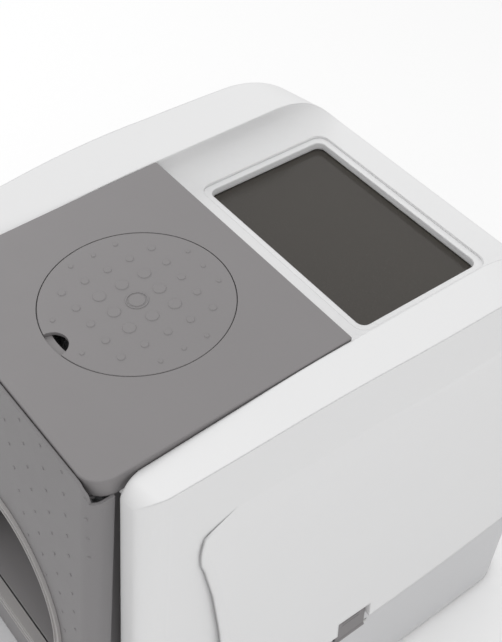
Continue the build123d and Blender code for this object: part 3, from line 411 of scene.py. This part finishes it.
panel_skin = skin_of("front_panel")
pips = bmesh.new()
pip_count = 0
for row in range(PIP_ROWS):
    z = PIP_TOP - row * PIP_ROW
    run = PIP_TOP - ARCH_CENTRE - abs(z - ARCH_CENTRE)
    flat_front = PANEL_FRONT - PANEL_LEAN * (PANEL_TOP - z)
    for column in range(PIP_COLUMNS):
        start = PIP_INNER + column * PIP_COLUMN
        reach = start + PIP_SPREAD * (1.0 - start / PIP_SPREAD_END) * run
        if near_entrance(reach, z):
            continue
        for x in (-reach, reach):
            eye = Vector((x, -500.0, z)) * MM
            hit, normal, face, distance = panel_skin.ray_cast(eye, Vector((0.0, 1.0, 0.0)))
            if hit is None or abs(hit.y / MM - flat_front) > FLAT_LIMIT:
                continue
            add_dome(pips, hit, normal, PIP_RADIUS * MM, PIP_HEIGHT * MM)
            pip_count += 1
make_piece("panel_pips", pips, "base", panel_finish)
print("pips on the panel:", pip_count)

# %% [markdown]
# Ribs are long beads: a half round that follows a line on the skin. The line is given as a start and
# an end in the air, and is dropped onto the part along a direction. Both ends taper to a point, as a
# cutter leaves them.

# %% Beads
def add_bead(shape, skin, start, end, direction, radius, height, steps=24, segments=6):
    """A half-round rib from start to end, laid on the skin. Returns how many points landed."""
    line = []
    for step in range(steps + 1):
        share = step / steps
        hit, normal, face, distance = skin.ray_cast(start.lerp(end, share), direction)
        if hit is not None:
            line.append((share, hit, normal))
    rings = []
    run = (end - start).normalized()
    for share, hit, normal in line:
        taper = min(1.0, 12.0 * min(share, 1.0 - share) + 0.15)
        across = normal.cross(run).normalized()
        ring = []
        for k in range(segments + 1):
            turn = math.pi * k / segments
            rise = normal * (math.sin(turn) * height * taper - 0.2 * MM)
            ring.append(shape.verts.new(hit + across * (math.cos(turn) * radius * taper) + rise))
        rings.append(ring)
    for low, high in zip(rings, rings[1:]):
        for k in range(segments):
            shape.faces.new((low[k], low[k + 1], high[k + 1], high[k]))
        shape.faces.new((low[-1], low[0], high[0], high[-1]))
    if rings:
        shape.faces.new(rings[0])
        shape.faces.new(rings[-1])
    return len(line)


# %% [markdown]
# Three places have such ribs: the lever's grip, so that a thumb doesn't slip, the two latches, and the
# step in the entrance, where a cat puts its paws. The lever leans, so its ribs follow the line from
# the hub to the grip, which is worked out from the boxes of those two parts.

# %% Ribs on the grip, the latches and the steps
GRIP_RIBS = 6
GRIP_RIB_PITCH = 6.0
GRIP_RIB_HALF = 10.5
LATCH_RIBS = 3
LATCH_RIB_TOP = 7.0
LATCH_RIB_PITCH = 5.5
LATCH_RIB_MARGIN = 8.0
STEP_RIBS = 5
STEP_RIB_MARGIN = 20.0


def middle_of(name):
    low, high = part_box(name)
    return (Vector(low) + Vector(high)) * 0.5


grip_middle = middle_of("lever_grip")
arm_run = grip_middle - middle_of("lever_hub")
arm_run.x = 0.0
arm_run.normalize()
grip_across = arm_run.cross(Vector((1.0, 0.0, 0.0)))
grip_skin = skin_of("lever_grip")
grip_ribs = bmesh.new()
half_rib = grip_across * GRIP_RIB_HALF * MM
for rib in range(GRIP_RIBS):
    along = (rib - (GRIP_RIBS - 1) / 2) * GRIP_RIB_PITCH * MM
    middle = grip_middle + arm_run * along - Vector((0.1, 0.0, 0.0))
    add_bead(grip_ribs, grip_skin, middle - half_rib, middle + half_rib, Vector((1.0, 0.0, 0.0)),
             1.3 * MM, 1.1 * MM)
make_piece("grip_ribs", grip_ribs, "pan", finishes["dark_plastic"])

for side, turn in (("left", 1.0), ("right", -1.0)):
    latch = "hood_latch_" + side
    low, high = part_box(latch)
    latch_skin = skin_of(latch)
    outside = -0.3 * turn
    latch_ribs = bmesh.new()
    for rib in range(LATCH_RIBS):
        z = high[2] - (LATCH_RIB_TOP + LATCH_RIB_PITCH * rib) * MM
        start = Vector((outside, low[1] + LATCH_RIB_MARGIN * MM, z))
        end = Vector((outside, high[1] - LATCH_RIB_MARGIN * MM, z))
        add_bead(latch_ribs, latch_skin, start, end, Vector((turn, 0.0, 0.0)), 1.1 * MM, 0.8 * MM)
    make_piece("latch_ribs_" + side, latch_ribs, "latch_" + side, finishes["grey_plastic"])

step_low, step_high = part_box("entry_step")
step_skin = skin_of("entry_step")
step_ribs = bmesh.new()
for rib in range(STEP_RIBS):
    y = step_low[1] + (step_high[1] - step_low[1]) * (0.2 + 0.15 * rib)
    start = Vector((step_low[0] + STEP_RIB_MARGIN * MM, y, step_high[2] + 0.05))
    end = Vector((step_high[0] - STEP_RIB_MARGIN * MM, y, step_high[2] + 0.05))
    add_bead(step_ribs, step_skin, start, end, Vector((0.0, 0.0, -1.0)), 1.5 * MM, 1.0 * MM, 40)
make_piece("step_ribs", step_ribs, "pan", finishes["pan_plastic"])

# %% [markdown]
# The filter is a round pad of carbon felt, stitched in a grid so that the granules inside don't settle.
# Its top swells between the stitch lines and falls to a thin welded rim, while its underside lies flat
# on the grille.
# It could be blown up by the cloth solver, but felt is stiff and hardly moves, so a height rule is enough:
# a crown over the whole disc, less a narrow groove wherever a stitch line passes.

# %% Carbon felt pad
pad_low, pad_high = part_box("filter_pad")
pad_middle = (Vector(pad_low) + Vector(pad_high)) * 0.5
PAD_RADIUS = (pad_high[0] - pad_low[0]) * 0.5 - 0.4 * MM
PAD_THICK = pad_high[2] - pad_low[2]
STITCH_PITCH = 29.0 * MM
PAD_FOOT = 0.25 * MM
PAD_RINGS = 44
PAD_SEGMENTS = 160


def groove(distance, width):
    return math.exp(-(distance / width) ** 2)


def pad_height(x, y):
    """Height of the pad's top over its underside."""
    share = min(1.0, math.hypot(x, y) / PAD_RADIUS)
    crown = 0.30 + 0.70 * max(0.0, 1.0 - share ** 6) ** 0.5
    dent = 0.0
    for place in (x, y):
        offset = (place / STITCH_PITCH) % 1.0 - 0.5
        dent = max(dent, groove(offset * STITCH_PITCH, 2.2 * MM))
    rim = groove((share - 0.93) * PAD_RADIUS, 1.6 * MM)
    return PAD_THICK * crown * (1.0 - 0.30 * dent) * (1.0 - 0.35 * rim)


pad_shape = bmesh.new()
sheets = []
for top in (True, False):
    centre_z = pad_height(0.0, 0.0) if top else PAD_FOOT
    centre = pad_shape.verts.new(Vector((pad_middle.x, pad_middle.y, pad_low[2] + centre_z)))
    rings = []
    for ring in range(1, PAD_RINGS + 1):
        reach = PAD_RADIUS * ring / PAD_RINGS
        row = []
        for k in range(PAD_SEGMENTS):
            angle = 2.0 * math.pi * k / PAD_SEGMENTS
            x, y = reach * math.cos(angle), reach * math.sin(angle)
            lift = pad_height(x, y) if top else PAD_FOOT
            row.append(pad_shape.verts.new(Vector((pad_middle.x + x, pad_middle.y + y, pad_low[2] + lift))))
        rings.append(row)
    for k in range(PAD_SEGMENTS):
        pad_shape.faces.new((centre, rings[0][k], rings[0][(k + 1) % PAD_SEGMENTS]))
    for low_row, high_row in zip(rings, rings[1:]):
        for k in range(PAD_SEGMENTS):
            nxt = (k + 1) % PAD_SEGMENTS
            pad_shape.faces.new((low_row[k], low_row[nxt], high_row[nxt], high_row[k]))
    sheets.append(rings[-1])
for k in range(PAD_SEGMENTS):
    nxt = (k + 1) % PAD_SEGMENTS
    pad_shape.faces.new((sheets[0][k], sheets[0][nxt], sheets[1][nxt], sheets[1][k]))
pad = make_piece("carbon_pad", pad_shape, "lid", finishes["carbon_fabric"])
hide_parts("filter_pad")
print("pad is", round(PAD_RADIUS / MM * 2), "mm across and", round(PAD_THICK / MM), "mm thick")

# %% [markdown]
# The photograph was taken in a white room, with light from everywhere and a little more from above.
# One world colour does most of that, and large soft lamps add the rest. The one high on the left is
# mirrored in the grey lid, which is why the lid is paler on that side. The floor is a pale sheet that
# keeps the box's shadow. The camera sees the floor and the world a little brighter than the box is lit by,
# through the Is Camera Ray output, so the background is white and no light is added to the box.

# %% Studio
ROOM_LIGHT = 0.86
ROOM_SEEN = 1.0
FLOOR_HALF = 8.0


def floor_finish():
    finish = Finish("studio_floor")
    place = finish.node("ShaderNodeTexCoord", output="Object")
    seen = finish.node("ShaderNodeLightPath", output="Is Camera Ray")
    tint = finish.mix(seen, (0.80, 0.80, 0.80), (1.0, 1.0, 1.0))
    shader = finish.node("ShaderNodeBsdfPrincipled", {}, {
        "Base Color": tint, "Roughness": 0.8 + finish.noise(place, 3.0) * 0.1, "Specular IOR Level": 0.0})
    return finish.end(shader)


floor_mesh = bpy.data.meshes.new("floor")
sheet = bmesh.new()
bmesh.ops.create_grid(sheet, x_segments=8, y_segments=8, size=FLOOR_HALF)
sheet.to_mesh(floor_mesh)
sheet.free()
floor = bpy.data.objects.new("floor", floor_mesh)
bpy.context.scene.collection.objects.link(floor)
floor.data.materials.append(floor_finish())

world = bpy.data.worlds.new("white_room")
bpy.context.scene.world = world
world.use_nodes = True
room = world.node_tree
room.nodes.clear()
path = room.nodes.new("ShaderNodeLightPath")
seen = room.nodes.new("ShaderNodeMath")
seen.operation = "MAXIMUM"
room.links.new(path.outputs["Is Camera Ray"], seen.inputs[0])
room.links.new(path.outputs["Is Transmission Ray"], seen.inputs[1])
level = room.nodes.new("ShaderNodeMapRange")
level.inputs["To Min"].default_value = ROOM_LIGHT
level.inputs["To Max"].default_value = ROOM_SEEN
room.links.new(seen.outputs[0], level.inputs["Value"])
sky = room.nodes.new("ShaderNodeBackground")
sky.inputs["Color"].default_value = (1.0, 1.0, 1.0, 1.0)
room.links.new(level.outputs[0], sky.inputs["Strength"])
out = room.nodes.new("ShaderNodeOutputWorld")
room.links.new(sky.outputs[0], out.inputs["Surface"])


def softbox(name, place, aim, width, height, power):
    data = bpy.data.lights.new(name, "AREA")
    data.shape = "RECTANGLE"
    data.size = width
    data.size_y = height
    data.energy = power
    lamp = bpy.data.objects.new(name, data)
    bpy.context.scene.collection.objects.link(lamp)
    lamp.location = place
    lamp.rotation_mode = "QUATERNION"
    lamp.rotation_quaternion = (Vector(aim) - Vector(place)).to_track_quat("-Z", "Y")
    return lamp


softbox("overhead", (0.2, 0.3, 2.6), (0.0, 0.0, 0.5), 2.0, 2.0, 3.0)
softbox("high_left", (-1.9, 0.0, 2.0), (0.0, 0.0, 0.55), 1.3, 1.3, 7.5)
softbox("low_right", (2.3, -0.6, 0.9), (0.23, 0.0, 0.4), 1.6, 1.2, 2.5)
bpy.context.scene.view_settings.view_transform = "Standard"
print("lamps:", len(bpy.data.lights))
